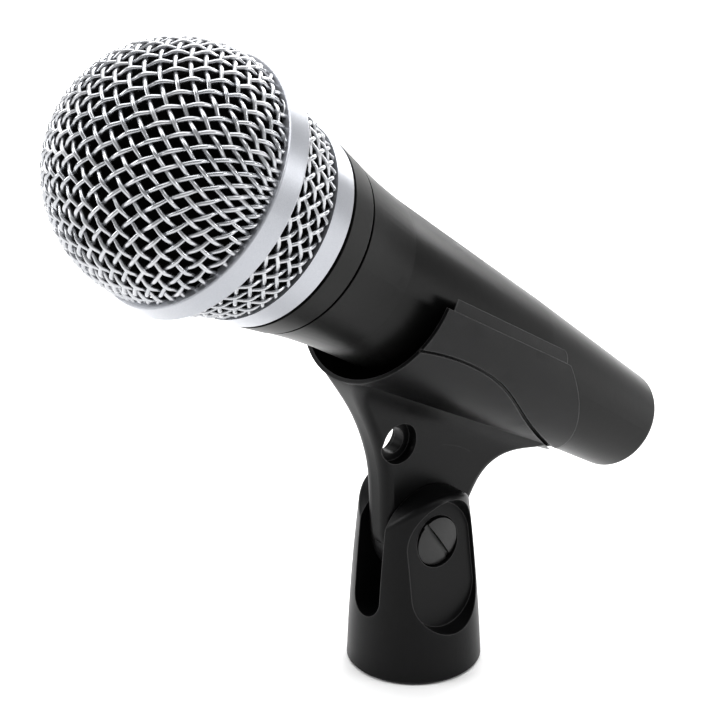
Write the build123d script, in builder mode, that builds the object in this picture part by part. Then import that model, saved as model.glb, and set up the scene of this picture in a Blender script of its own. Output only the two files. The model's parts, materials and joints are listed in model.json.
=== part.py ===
from build123d import *
from math import asin, atan, cos, degrees, radians, sin, sqrt
import os

os.makedirs("parts", exist_ok=True)

# Handheld vocal microphone lying in its stand clip. Millimetres, +Z up.
# The origin is the centre of the stand thread at the foot of the clip.
# The grille points to -Y and upwards. The clip's pivot lies along X, with its screw head at +X.

# ---------------------------------------------------------------- driving dimensions
# Clip base: a tapered round foot that splits into two ears
base_height = 42.1
base_foot_radius = 14.9
base_waist_radius = 13.6
base_top_radius = 11.4
ear_round_radius = 13.0
ear_edge_fillet = 1.6
pivot_height = 30.3
fork_gap = 8.3
fork_floor = 13.9
thumb_pocket_radius = 8.8
thumb_pocket_length = 10.6
thumb_pocket_tilt = 8.0
thumb_pocket_flare = 15.0

# Stand thread (5/8 inch, 27 turns per inch) in a brass bush
bush_bore_radius = 7.43
bush_outer_radius = 9.4
bush_length = 10.8
bush_rib_count = 24
bush_rib_depth = 0.35

# Pivot screw and nut
screw_head_radius = 5.4
screw_head_thickness = 1.9
screw_dome_height = 0.55
screw_head_gap = 0.25
screw_shank_radius = 2.5
screw_fit = 0.08
screw_slot_width = 1.1
screw_slot_depth = 0.9
screw_slot_turn = -55.5
ear_wall_under_head = 1.9
nut_flats = 8.0
nut_thickness = 2.6
nut_gap = 0.15

# Clip cradle: tongue, neck and open tapered cup
tongue_radius = 9.8
tongue_side_gap = 0.1
tongue_boss_radius = 8.6
neck_side_step = 0.15
neck_edge_round = 2.6
neck_flank_radius = 20.5
root_front_step = 0.8
root_front_rise = 7.4
root_rear_step = 1.7
root_rear_rise = 1.3
cup_front_radius = 21.0
cup_taper = 0.106
cup_rim_wall = 0.95
cup_front_station = 85.9
cup_mouth_depth = 13.5
seat_gap = 0.3
arm_top_height = 1.25
arm_top_rise = 0.062
arm_lip_height = 2.5
arm_lip_inset = 1.0
arm_lip_setback = 0.6
lip_corner_radius = 2.3
groove_width = 0.6
groove_depth = 0.55
neck_fillet = 9.5
neck_hole_radius = 2.9
neck_hole_sink_radius = 4.5
neck_hole_wall = 3.0
neck_hole_station = 64.6
neck_hole_drop = 27.1

# Microphone placement: its axis passes above the pivot and rises towards the grille
mic_rise_angle = 34.73
axis_over_pivot = 42.4
tail_behind_pivot = 45.4

# Microphone handle
handle_length = 110.4
handle_tail_radius = 11.55
handle_mid_station = 45.4
handle_mid_radius = 14.6
handle_shoulder_station = 95.4
handle_shoulder_radius = 17.2
handle_top_radius = 19.2
handle_wall = 2.2
tail_edge_round = 1.6

# Handle top: spigot for the name band, thread for the grille, rim for the rubber mount
band_seat_radius = 17.9
band_seat_length = 7.2
grille_thread_radius = 16.9
grille_thread_length = 5.4
handle_mouth_radius = 15.4

# Name band
name_band_gap = 0.75
name_band_length = 6.3
name_band_rear_radius = 19.45
name_band_front_radius = 20.6

# Grille head
parting_gap = 0.4
collar_length = 5.4
collar_rear_radius = 20.7
collar_front_radius = 21.15
collar_thread_gap = 0.3
rear_mesh_length = 13.8
rear_mesh_front_radius = 25.5
mesh_thickness = 0.9
head_band_length = 4.7
head_band_rear_radius = 26.5
head_band_front_radius = 25.9
head_band_wall = 1.9
dome_radius = 25.5
dome_centre_lead = 2.1
foam_gap = 0.25
foam_thickness = 2.6

# Capsule (the moving-coil cartridge)
capsule_head_radius = 15.2
capsule_body_radius = 11.2
rubber_flange_length = 1.8
rubber_grip_length = 9.0
rubber_flange_radius = 16.4
chamber_length = 22.0
chamber_wall = 1.2
yoke_radius = 12.4
yoke_length = 9.5
yoke_floor = 1.6
top_plate_thickness = 2.0
magnet_radius = 6.9
magnet_thickness = 5.0
pole_radius = 7.2
coil_inner_radius = 7.5
coil_wall = 0.45
coil_length = 4.0
coil_side_gap = 0.45
diaphragm_thickness = 0.2
diaphragm_rise = 1.6
cap_thickness = 1.4
cap_hole_radius = 1.3
cloth_thickness = 0.5
terminal_radius = 0.9

# Switch, flush in the handle's upper side
switch_station = 83.1
switch_plate_length = 31.8
switch_plate_width = 11.0
switch_plate_thickness = 1.5
switch_plate_corner = 1.5
switch_plate_gap = 0.25
switch_slot_station = 77.5
switch_slot_length = 11.0
switch_slot_width = 3.6
switch_slot_corner = 0.7
switch_knob_length = 6.4
switch_knob_width = 3.2
switch_knob_sink = 0.05
switch_knob_gap = 0.15
switch_knob_corner = 0.6
switch_knob_groove_depth = 0.45
switch_knob_groove_width = 0.5
switch_knob_groove_pitch = 1.3
switch_travel = 4.0
switch_screw_spacing = 27.4
switch_screw_sink = 0.25
switch_screw_head_radius = 1.6
switch_screw_shank_radius = 0.9
switch_screw_length = 3.4
switch_body_length = 12.4
switch_body_width = 7.0
switch_body_depth = 6.5
switch_window_gap = 0.3
screw_cross_length = 2.2
screw_cross_width = 0.4

# Three-pin connector in the tail
socket_radius = 9.35
socket_depth = 15.0
insert_length = 9.0
insert_gap = 0.05
pin_radius = 1.2
pin_circle_radius = 3.95
pin_reach = 12.0
pin_tail = 4.0
pin_angles = (270.0, 35.0, 145.0)
keyway_width = 3.4
keyway_depth = 1.0
set_screw_radius = 1.25
set_screw_gap = 0.05

# Leads
lead_radius = 0.55
lead_side = 1.7
lead_straight = 5.0
lead_bend_radius = 3.0

# ---------------------------------------------------------------- shared frame
rise = radians(mic_rise_angle)
forward = Vector(0, -cos(rise), sin(rise))
upward = Vector(0, sin(rise), cos(rise))
across = Vector(1, 0, 0)
pivot_point = Vector(0, 0, pivot_height)
tail_point = pivot_point + upward * axis_over_pivot - forward * tail_behind_pivot
skin_slope = atan(
    (handle_shoulder_radius - handle_mid_radius) / (handle_shoulder_station - handle_mid_station)
)
skin_normal = upward * cos(skin_slope) - forward * sin(skin_slope)
mic_axis = Axis(tail_point, forward)
pivot_axis = Axis(pivot_point, across)

# Half-section of the microphone: local x is the radius, local y the station from the tail
half_section = Plane(origin=tail_point, x_dir=across, z_dir=upward * -1)
# Side view of the microphone: local x is the station, local y the height over the axis
side_view = Plane(origin=tail_point, x_dir=forward, z_dir=across * -1)
# Side view of the clip, centred on the pivot: local x is +Y, local y is +Z
clip_side = Plane(origin=pivot_point, x_dir=(0, 1, 0), z_dir=(1, 0, 0))
stand_section = Plane.XZ


def cross_plane(station):
    """Plane across the microphone at a station: local x is +X, local y is up."""
    return Plane(origin=tail_point + forward * station, x_dir=across, z_dir=forward)


def top_plane(station, height):
    """Plane facing up from the microphone: local x is +X, local y runs to the tail."""
    return Plane(origin=tail_point + forward * station + upward * height, x_dir=across, z_dir=upward)


def skin_plane(station, depth):
    """Plane under the handle's tapered top line: local x is +X, local y runs to the tail."""
    skin_point = tail_point + forward * station + upward * handle_radius(station)
    return Plane(origin=skin_point - skin_normal * depth, x_dir=across, z_dir=skin_normal)


def handle_radius(station):
    """Outer radius of the handle's taper, straight between its named stations."""
    stops = (
        (0.0, handle_tail_radius),
        (handle_mid_station, handle_mid_radius),
        (handle_shoulder_station, handle_shoulder_radius),
    )
    for (low, low_radius), (high, high_radius) in zip(stops, stops[1:]):
        if station <= high:
            return low_radius + (high_radius - low_radius) * (station - low) / (high - low)
    return handle_shoulder_radius


def cup_radius(station):
    """Outer radius of the cradle's cup."""
    return cup_front_radius - (cup_front_station - station) * cup_taper


def finish(piece, name):
    """Label a sub-part and write it."""
    piece.part.label = name
    export_step(piece.part, "parts/" + name + ".step")


# ---------------------------------------------------------------- stations along the microphone
band_seat_end = handle_length + band_seat_length
thread_end = band_seat_end + grille_thread_length
name_band_start = handle_length + name_band_gap
name_band_end = name_band_start + name_band_length
collar_start = band_seat_end + parting_gap
collar_end = collar_start + collar_length
head_band_start = collar_end + rear_mesh_length
head_band_end = head_band_start + head_band_length
dome_centre = head_band_end + dome_centre_lead
mesh_inner_radius = dome_radius - mesh_thickness
mesh_rear_radius = collar_front_radius - 0.1
shoulder_flare_radius = (handle_shoulder_radius + handle_top_radius) / 2 - 0.2

insert_end = socket_depth + insert_length
set_screw_station = socket_depth + insert_length / 2
set_screw_face = handle_radius(set_screw_station) - 0.15
set_screw_length = set_screw_face - (socket_radius - insert_gap - 1.1)

flange_end = thread_end + rubber_flange_length
chamber_start = flange_end - chamber_length
terminal_reach = 2.0
yoke_end = flange_end + yoke_length
magnet_end = flange_end + yoke_floor + magnet_thickness
coil_outer_radius = coil_inner_radius + coil_wall
gap_outer_radius = coil_outer_radius + coil_side_gap
coil_top = yoke_end + 0.7
cap_start = coil_top + diaphragm_rise + diaphragm_thickness + 0.8

# ---------------------------------------------------------------- swivel_base
half_fork = fork_gap / 2
head_seat = half_fork + ear_wall_under_head
nut_seat = half_fork + ear_wall_under_head
pocket_floor = head_seat + screw_head_thickness
pocket_tilt = radians(thumb_pocket_tilt)

with BuildPart() as swivel_base:
    with BuildSketch(stand_section):
        with BuildLine():
            Polyline((0, base_height), (0, 0), (base_foot_radius, 0))
            ThreePointArc(
                (base_foot_radius, 0),
                (base_waist_radius, base_height / 2),
                (base_top_radius, base_height),
            )
            Line((base_top_radius, base_height), (0, base_height))
        make_face()
    revolve(axis=Axis.Z)
    # The ears are round-topped in side view
    ear_centre = base_height - ear_round_radius
    with BuildSketch(Plane.YZ):
        with BuildLine():
            ThreePointArc(
                (ear_round_radius, ear_centre), (0, base_height), (-ear_round_radius, ear_centre)
            )
            Polyline(
                (-ear_round_radius, ear_centre),
                (-base_foot_radius, ear_centre),
                (-base_foot_radius, 0),
                (base_foot_radius, 0),
                (base_foot_radius, ear_centre),
                (ear_round_radius, ear_centre),
            )
        make_face()
    extrude(amount=base_foot_radius, both=True, mode=Mode.INTERSECT)
    # Fork gap for the tongue, with a round floor
    with BuildSketch(Plane.XZ):
        with Locations((0, fork_floor + half_fork)):
            Circle(half_fork)
        with Locations((0, fork_floor + half_fork)):
            Rectangle(fork_gap, base_height, align=(Align.CENTER, Align.MIN))
    extrude(amount=base_foot_radius, both=True, mode=Mode.SUBTRACT)
    ear_tops = swivel_base.edges().filter_by_position(Axis.Z, ear_centre + 2, base_height + 1)
    fillet(ear_tops.filter_by(lambda edge: abs(edge.center().X) > half_fork + 1), ear_edge_fillet)
    # Shallow thumb pockets on both ears
    for side in (1, -1):
        pocket_plane = Plane(
            origin=(side * pocket_floor, 0, pivot_height),
            x_dir=(0, 1, 0),
            z_dir=(side * cos(pocket_tilt), 0, sin(pocket_tilt)),
        )
        with BuildSketch(pocket_plane):
            with BuildLine():
                low = -side * thumb_pocket_length
                high = 0
                Line((-thumb_pocket_radius, low), (-thumb_pocket_radius, high))
                ThreePointArc(
                    (-thumb_pocket_radius, high),
                    (0, high + side * thumb_pocket_radius),
                    (thumb_pocket_radius, high),
                )
                Line((thumb_pocket_radius, high), (thumb_pocket_radius, low))
                ThreePointArc(
                    (thumb_pocket_radius, low),
                    (0, low - side * thumb_pocket_radius),
                    (-thumb_pocket_radius, low),
                )
            make_face()
        extrude(amount=base_foot_radius, taper=-thumb_pocket_flare, mode=Mode.SUBTRACT)
    # Screw head seat, nut seat and the cross hole
    head_plane = Plane(origin=(head_seat, 0, pivot_height), x_dir=(0, 1, 0), z_dir=(1, 0, 0))
    with BuildSketch(head_plane):
        Circle(screw_head_radius + screw_head_gap)
    extrude(amount=base_foot_radius, mode=Mode.SUBTRACT)
    nut_plane = Plane(origin=(-nut_seat, 0, pivot_height), x_dir=(0, 1, 0), z_dir=(-1, 0, 0))
    with BuildSketch(nut_plane):
        RegularPolygon(nut_flats / 2 + nut_gap, 6, major_radius=False)
    extrude(amount=base_foot_radius, mode=Mode.SUBTRACT)
    with BuildSketch(Plane.YZ):
        with Locations((0, pivot_height)):
            Circle(screw_shank_radius + screw_fit)
    extrude(amount=base_foot_radius, both=True, mode=Mode.SUBTRACT)
    # Seat of the thread bush
    with BuildSketch(Plane.XY):
        Circle(bush_outer_radius)
    extrude(amount=bush_length, mode=Mode.SUBTRACT)
    chamfer(swivel_base.edges().filter_by(GeomType.CIRCLE).group_by(Axis.Z)[0], 0.4)
finish(swivel_base, "swivel_base")

# ---------------------------------------------------------------- thread_insert
with BuildPart() as thread_insert:
    with BuildSketch(Plane.XY):
        Circle(bush_outer_radius)
        Circle(bush_bore_radius, mode=Mode.SUBTRACT)
        with PolarLocations(bush_outer_radius, bush_rib_count):
            Circle(bush_rib_depth, mode=Mode.SUBTRACT)
    extrude(amount=bush_length)
finish(thread_insert, "thread_insert")

# ---------------------------------------------------------------- pivot_screw
screw_end = -(nut_seat + nut_thickness - 0.4)
head_face = head_seat + screw_head_thickness
with BuildPart() as pivot_screw:
    with BuildSketch(Plane(origin=pivot_point, x_dir=across, z_dir=(0, -1, 0))):
        with BuildLine():
            Polyline(
                (screw_end, 0),
                (screw_end, screw_shank_radius - 0.4),
                (screw_end + 0.4, screw_shank_radius),
                (head_seat, screw_shank_radius),
                (head_seat, screw_head_radius),
                (head_face, screw_head_radius),
            )
            dome_sag = screw_dome_height
            ThreePointArc(
                (head_face, screw_head_radius),
                (head_face + dome_sag * 0.75, screw_head_radius / 2),
                (head_face + dome_sag, 0),
            )
            Line((head_face + dome_sag, 0), (screw_end, 0))
        make_face()
    revolve(axis=pivot_axis)
    slot_plane = Plane(
        origin=(head_face + screw_dome_height - screw_slot_depth, 0, pivot_height),
        x_dir=(0, 1, 0),
        z_dir=(1, 0, 0),
    )
    with BuildSketch(slot_plane):
        Rectangle(3 * screw_head_radius, screw_slot_width, rotation=screw_slot_turn)
    extrude(amount=3 * screw_slot_depth, mode=Mode.SUBTRACT)
finish(pivot_screw, "pivot_screw")

# ---------------------------------------------------------------- pivot_nut
with BuildPart() as pivot_nut:
    with BuildSketch(nut_plane):
        RegularPolygon(nut_flats / 2, 6, major_radius=False)
        Circle(screw_shank_radius, mode=Mode.SUBTRACT)
    extrude(amount=nut_thickness)
    chamfer(pivot_nut.faces().sort_by(Axis.X)[0].outer_wire().edges(), 0.35)
finish(pivot_nut, "pivot_nut")

# ---------------------------------------------------------------- clip_cradle
tongue_half = half_fork - tongue_side_gap
neck_half = tongue_half - neck_side_step
taper_angle = degrees(asin(cup_taper / sqrt(1 + cup_taper**2)))
belly_turn = radians(taper_angle)
# Directions along and away from the cup's lowest line
belly_rear = forward * -cos(belly_turn) + upward * sin(belly_turn)
belly_down = forward * -sin(belly_turn) - upward * cos(belly_turn)
belly_start = tail_point + forward * cup_front_station - upward * cup_front_radius


def flare_half_width(depth, radius):
    """Half-width of the neck at a depth under the cup, where a fillet joins it to the cup."""
    centre_x = neck_half + neck_fillet
    centre_depth = sqrt((radius + neck_fillet) ** 2 - centre_x**2) - radius
    touch_depth = radius * (centre_depth + radius) / (radius + neck_fillet) - radius
    if depth >= centre_depth:
        return neck_half
    depth = max(depth, touch_depth)
    return centre_x - sqrt(neck_fillet**2 - (depth - centre_depth) ** 2)


def neck_section(plane, front, rear, front_half, rear_half, edge_round):
    """One rounded section of the neck: local x runs to the rear, local y is -X."""
    with BuildSketch(plane) as section:
        with BuildLine():
            Polyline(
                (front, -front_half),
                (rear, -rear_half),
                (rear, rear_half),
                (front, front_half),
                close=True,
            )
        make_face()
        fillet(section.vertices(), edge_round)
    return section.sketch


# The neck's front and rear ends at each depth under the cup's lowest line
neck_ends = (
    (17.0, 21.0, 48.0),
    (12.4, 17.3, 48.3),
    (8.1, 12.7, 49.4),
    (4.7, 8.1, 52.0),
    (1.8, 3.8, 56.0),
    (-0.8, 1.0, 61.5),
    (-4.5, 0.8, 62.5),
)
rear_station_span = 65.0
cup_rear_station = 14.0
mouth_station = cup_front_station - cup_mouth_depth
rim_depth = 1.6
# Rear edge of the cup in side view, (station, height over the axis)
rear_edge_foot = (20.6, -14.1)
rear_edge_middle = (29.2, -4.2)
rear_edge_top = (40.2, 4.2)
lip_rear_top = (rear_edge_top[0] + lip_corner_radius, rear_edge_top[1] + lip_corner_radius)
neck_hole_plane = Plane(
    origin=tail_point + forward * neck_hole_station - upward * neck_hole_drop,
    x_dir=(0, 1, 0),
    z_dir=(1, 0, 0),
)

with BuildPart() as groove_tool:
    # Line on the cup's flanks between the side arms and the neck
    with BuildSketch(side_view):
        with BuildLine():
            Spline((87.0, -9.0), (71.0, -6.4), (58.0, -6.9), (44.0, -10.1), (29.0, -12.6), (19.0, -13.2))
        trace(line_width=groove_width)
    extrude(amount=2 * cup_front_radius, both=True)
    with BuildSketch(half_section):
        with BuildLine():
            Polyline(
                (0, 0),
                (cup_radius(0) - groove_depth, 0),
                (cup_radius(100) - groove_depth, 100),
                (0, 100),
                close=True,
            )
        make_face()
    revolve(axis=mic_axis, mode=Mode.SUBTRACT)

tongue_plane = Plane(origin=pivot_point, x_dir=(0, 1, 0), z_dir=(0, 0, 1))
neck_sections = [
    neck_section(tongue_plane, -tongue_radius, tongue_radius, neck_half, neck_half, neck_edge_round)
]
root_front = pivot_point + Vector(0, -(tongue_radius + root_front_step), root_front_rise)
root_rear = pivot_point + Vector(0, tongue_radius + root_rear_step, root_rear_rise)
root_run = (root_rear - root_front).normalized()
root_plane = Plane(origin=root_front, x_dir=root_run, z_dir=root_run.cross(across) * -1)
neck_sections.append(
    neck_section(
        root_plane, 0, (root_rear - root_front).length, neck_half, neck_half, neck_edge_round
    )
)
for depth, front, rear in neck_ends:
    depth_plane = Plane(
        origin=belly_start + belly_down * depth, x_dir=belly_rear, z_dir=belly_down * -1
    )
    front_half = flare_half_width(depth, cup_front_radius)
    rear_half = flare_half_width(depth, cup_front_radius - cup_taper * rear_station_span)
    neck_sections.append(
        neck_section(depth_plane, front, rear, front_half, rear_half, neck_edge_round)
    )

with BuildPart() as tongue_end:
    # Lower half of a round-edged disc about the pivot
    with BuildSketch(clip_side):
        Circle(tongue_radius)
    extrude(amount=neck_half, both=True)
    fillet(tongue_end.edges(), neck_edge_round)
    with BuildSketch(clip_side):
        Rectangle(3 * tongue_radius, 3 * tongue_radius, align=(Align.CENTER, Align.MAX))
    extrude(amount=2 * neck_half, both=True, mode=Mode.INTERSECT)

seat_profile = (
    (0, cup_rear_station - 5),
    (handle_radius(cup_rear_station - 5) + seat_gap, cup_rear_station - 5),
    (handle_mid_radius + seat_gap, handle_mid_station),
    (handle_radius(mouth_station) + seat_gap, mouth_station),
    (cup_front_radius - cup_rim_wall, cup_front_station - rim_depth),
    (cup_front_radius - cup_rim_wall, cup_front_station + 5),
    (0, cup_front_station + 5),
)
arm_rear_height = arm_top_height + arm_top_rise * (cup_front_station - cup_rear_station)

with BuildPart() as arm_lips:
    # Thin lips that stand inside the arms' edges: a band of a thinner cup
    with BuildSketch(half_section):
        with BuildLine():
            Polyline(
                (0, cup_rear_station),
                (cup_radius(cup_rear_station) - arm_lip_inset, cup_rear_station),
                (cup_radius(cup_front_station) - arm_lip_inset, cup_front_station - arm_lip_setback),
                (0, cup_front_station - arm_lip_setback),
                close=True,
            )
        make_face()
    revolve(axis=mic_axis)
    with BuildSketch(half_section):
        with BuildLine():
            Polyline(*seat_profile, close=True)
        make_face()
    revolve(axis=mic_axis, mode=Mode.SUBTRACT)
    with BuildSketch(side_view):
        with BuildLine():
            Polyline(
                (cup_rear_station, -arm_lip_height),
                (cup_front_station, -arm_lip_height),
                (cup_front_station, arm_top_height + arm_lip_height),
                (cup_rear_station, arm_rear_height + arm_lip_height),
                close=True,
            )
        make_face()
    extrude(amount=2 * cup_front_radius, both=True, mode=Mode.INTERSECT)

with BuildPart() as clip_cradle:
    # Neck, from the tongue up into the cup
    loft(neck_sections)
    # Tapered cup
    with BuildSketch(half_section):
        with BuildLine():
            Polyline(
                (0, cup_rear_station),
                (cup_radius(cup_rear_station), cup_rear_station),
                (cup_radius(cup_front_station), cup_front_station),
                (0, cup_front_station),
                close=True,
            )
        make_face()
    revolve(axis=mic_axis)
    # Seat for the handle, wide at the mouth
    with BuildSketch(half_section):
        with BuildLine():
            Polyline(*seat_profile, close=True)
        make_face()
    revolve(axis=mic_axis, mode=Mode.SUBTRACT)
    # Open top, down to the outer edge of the arms
    with BuildSketch(side_view):
        with BuildLine():
            Polyline(
                (cup_rear_station - 5, arm_rear_height),
                (cup_rear_station, arm_rear_height),
                (cup_front_station, arm_top_height),
                (cup_front_station + 5, arm_top_height),
                (cup_front_station + 5, 2 * cup_front_radius),
                (cup_rear_station - 5, 2 * cup_front_radius),
                close=True,
            )
        make_face()
    extrude(amount=2 * cup_front_radius, both=True, mode=Mode.SUBTRACT)
    add(arm_lips.part)
    # Slanted round rear edge of the cup
    with BuildSketch(side_view):
        with BuildLine():
            ThreePointArc(rear_edge_foot, rear_edge_middle, rear_edge_top)
            RadiusArc(rear_edge_top, lip_rear_top, lip_corner_radius)
            Polyline(
                lip_rear_top,
                (lip_rear_top[0], 2 * cup_front_radius),
                (-cup_front_radius, 2 * cup_front_radius),
                (-cup_front_radius, rear_edge_foot[1] - 0.6),
                (rear_edge_foot[0] - 0.4, rear_edge_foot[1] - 0.6),
                rear_edge_foot,
            )
        make_face()
    extrude(amount=2 * cup_front_radius, both=True, mode=Mode.SUBTRACT)
    add(groove_tool.part, mode=Mode.SUBTRACT)
    # Light hole through the neck, sunk on both sides
    with BuildSketch(neck_hole_plane):
        Circle(neck_hole_radius)
    extrude(amount=cup_front_radius, both=True, mode=Mode.SUBTRACT)
    for side in (1, -1):
        sink_plane = Plane(
            origin=neck_hole_plane.origin + across * side * neck_hole_wall / 2,
            x_dir=(0, 1, 0),
            z_dir=(side, 0, 0),
        )
        with BuildSketch(sink_plane):
            Circle(neck_hole_sink_radius)
        extrude(amount=cup_front_radius, mode=Mode.SUBTRACT)
    # Flat flanks where the neck swings between the ears
    for side in (1, -1):
        flank_plane = Plane(
            origin=pivot_point + across * side * neck_half, x_dir=(0, 1, 0), z_dir=(side, 0, 0)
        )
        with BuildSketch(flank_plane):
            Circle(neck_flank_radius)
        extrude(amount=neck_half, mode=Mode.SUBTRACT)
    # Round end of the tongue, and its bearing boss
    add(tongue_end.part)
    with BuildSketch(clip_side):
        Circle(tongue_boss_radius)
    extrude(amount=tongue_half, both=True)
    # Pivot hole
    with BuildSketch(clip_side):
        Circle(screw_shank_radius + screw_fit)
    extrude(amount=cup_front_radius, both=True, mode=Mode.SUBTRACT)
finish(clip_cradle, "clip_cradle")

# ---------------------------------------------------------------- handle
with BuildPart() as handle_envelope:
    # Outside of the handle, filled, which the switch plate is flush with
    with BuildSketch(half_section):
        with BuildLine():
            Polyline(
                (0, handle_length),
                (0, handle_mid_station),
                (handle_mid_radius, handle_mid_station),
                (handle_shoulder_radius, handle_shoulder_station),
            )
            ThreePointArc(
                (handle_shoulder_radius, handle_shoulder_station),
                (shoulder_flare_radius, (handle_shoulder_station + handle_length) / 2),
                (handle_top_radius, handle_length),
            )
            Line((handle_top_radius, handle_length), (0, handle_length))
        make_face()
    revolve(axis=mic_axis)

with BuildPart() as handle:
    with BuildSketch(half_section):
        with BuildLine():
            Polyline(
                (socket_radius, 0),
                (handle_tail_radius, 0),
                (handle_mid_radius, handle_mid_station),
                (handle_shoulder_radius, handle_shoulder_station),
            )
            ThreePointArc(
                (handle_shoulder_radius, handle_shoulder_station),
                (shoulder_flare_radius, (handle_shoulder_station + handle_length) / 2),
                (handle_top_radius, handle_length),
            )
            Polyline(
                (handle_top_radius, handle_length),
                (band_seat_radius, handle_length),
                (band_seat_radius, band_seat_end),
                (grille_thread_radius, band_seat_end),
                (grille_thread_radius, thread_end),
                (handle_mouth_radius, thread_end),
                (handle_mouth_radius, handle_length),
                (handle_shoulder_radius - handle_wall, handle_shoulder_station),
                (handle_mid_radius - handle_wall, handle_mid_station),
                (handle_radius(insert_end + 4) - handle_wall, insert_end + 4),
                (socket_radius, insert_end),
                (socket_radius, 0),
            )
        make_face()
    revolve(axis=mic_axis)
    tail_rim = handle.edges().filter_by(GeomType.CIRCLE).sort_by(mic_axis)[0:2].sort_by(SortBy.RADIUS)
    fillet(tail_rim[-1], tail_edge_round)
    # Pocket for the switch plate, the window under it and its screw holes
    with BuildSketch(skin_plane(switch_station, switch_plate_thickness)):
        RectangleRounded(
            switch_plate_width + 2 * switch_plate_gap,
            switch_plate_length + 2 * switch_plate_gap,
            switch_plate_corner + switch_plate_gap,
        )
    extrude(amount=handle_top_radius, mode=Mode.SUBTRACT)
    with BuildSketch(skin_plane(switch_slot_station, switch_plate_thickness)):
        Rectangle(
            switch_body_width + 2 * switch_window_gap, switch_body_length + 2 * switch_window_gap
        )
    extrude(amount=-2 * handle_wall, mode=Mode.SUBTRACT)
    with BuildSketch(skin_plane(switch_station, switch_plate_thickness)):
        with GridLocations(0, switch_screw_spacing, 1, 2):
            Circle(switch_screw_shank_radius)
    extrude(amount=-2 * handle_wall, mode=Mode.SUBTRACT)
    # Keyway and set-screw hole of the connector
    with BuildSketch(cross_plane(0)):
        with Locations((0, socket_radius)):
            Rectangle(keyway_width, 2 * keyway_depth)
    extrude(amount=socket_depth - 3, mode=Mode.SUBTRACT)
    with BuildSketch(top_plane(set_screw_station, 0)):
        Circle(set_screw_radius)
    extrude(amount=-handle_top_radius, mode=Mode.SUBTRACT)
finish(handle, "handle")

# ---------------------------------------------------------------- name_band
with BuildPart() as name_band:
    with BuildSketch(half_section):
        with BuildLine():
            Polyline(
                (band_seat_radius, name_band_start),
                (name_band_rear_radius, name_band_start),
                (name_band_front_radius, name_band_end),
                (band_seat_radius, name_band_end),
                close=True,
            )
        make_face()
    revolve(axis=mic_axis)
finish(name_band, "name_band")

# ---------------------------------------------------------------- grille_collar
collar_bore = grille_thread_radius + collar_thread_gap
with BuildPart() as grille_collar:
    with BuildSketch(half_section):
        with BuildLine():
            Polyline(
                (collar_bore, collar_start),
                (collar_rear_radius, collar_start),
                (collar_front_radius, collar_end),
                (collar_bore, collar_end),
                close=True,
            )
        make_face()
    revolve(axis=mic_axis)
    chamfer(grille_collar.edges().filter_by(GeomType.CIRCLE).sort_by(mic_axis)[0:2], 0.3)
finish(grille_collar, "grille_collar")

# ---------------------------------------------------------------- rear_grille_mesh
with BuildPart() as rear_grille_mesh:
    with BuildSketch(half_section):
        with BuildLine():
            Polyline(
                (mesh_rear_radius, collar_end),
                (rear_mesh_front_radius, head_band_start),
                (rear_mesh_front_radius - mesh_thickness, head_band_start),
                (mesh_rear_radius - mesh_thickness, collar_end),
                close=True,
            )
        make_face()
    revolve(axis=mic_axis)
finish(rear_grille_mesh, "rear_grille_mesh")

# ---------------------------------------------------------------- grille_band
with BuildPart() as grille_band:
    with BuildSketch(half_section):
        with BuildLine():
            Polyline(
                (head_band_front_radius - head_band_wall, head_band_start),
                (head_band_rear_radius, head_band_start),
                (head_band_front_radius, head_band_end),
                (head_band_front_radius - head_band_wall, head_band_end),
                close=True,
            )
        make_face()
    revolve(axis=mic_axis)
    fillet(grille_band.edges().filter_by(GeomType.CIRCLE).filter_by(
        lambda edge: edge.radius > head_band_front_radius - 0.1), 0.35)
finish(grille_band, "grille_band")

# ---------------------------------------------------------------- front_grille_mesh
with BuildPart() as front_grille_mesh:
    with BuildSketch(half_section):
        with BuildLine():
            Line((mesh_inner_radius, head_band_end), (dome_radius, head_band_end))
            Line((dome_radius, head_band_end), (dome_radius, dome_centre))
            CenterArc((0, dome_centre), dome_radius, start_angle=0, arc_size=90)
            Line((0, dome_centre + dome_radius), (0, dome_centre + mesh_inner_radius))
            CenterArc((0, dome_centre), mesh_inner_radius, start_angle=0, arc_size=90)
            Line((mesh_inner_radius, dome_centre), (mesh_inner_radius, head_band_end))
        make_face()
    revolve(axis=mic_axis)
finish(front_grille_mesh, "front_grille_mesh")

# ---------------------------------------------------------------- foam_liner
foam_radius = head_band_front_radius - head_band_wall - foam_gap
foam_inner_radius = foam_radius - foam_thickness
foam_start = collar_end + foam_gap
foam_rear_radius = mesh_rear_radius - mesh_thickness - foam_gap
foam_shoulder = head_band_start + foam_gap
with BuildPart() as foam_liner:
    with BuildSketch(half_section):
        with BuildLine():
            Polyline(
                (foam_rear_radius - foam_thickness, foam_start),
                (foam_rear_radius, foam_start),
                (foam_radius, foam_shoulder),
                (foam_radius, dome_centre),
            )
            CenterArc((0, dome_centre), foam_radius, start_angle=0, arc_size=90)
            Line((0, dome_centre + foam_radius), (0, dome_centre + foam_inner_radius))
            CenterArc((0, dome_centre), foam_inner_radius, start_angle=0, arc_size=90)
            Polyline(
                (foam_inner_radius, dome_centre),
                (foam_inner_radius, foam_shoulder),
                (foam_rear_radius - foam_thickness, foam_start),
            )
        make_face()
    revolve(axis=mic_axis)
finish(foam_liner, "foam_liner")

# ---------------------------------------------------------------- shock_mount
with BuildPart() as shock_mount:
    with BuildSketch(half_section):
        with BuildLine():
            Polyline(
                (capsule_body_radius, thread_end - rubber_grip_length),
                (handle_mouth_radius, thread_end - rubber_grip_length),
                (handle_mouth_radius, thread_end),
                (rubber_flange_radius, thread_end),
                (rubber_flange_radius, flange_end),
                (capsule_body_radius, flange_end),
                close=True,
            )
        make_face()
    revolve(axis=mic_axis)
finish(shock_mount, "shock_mount")

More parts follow.
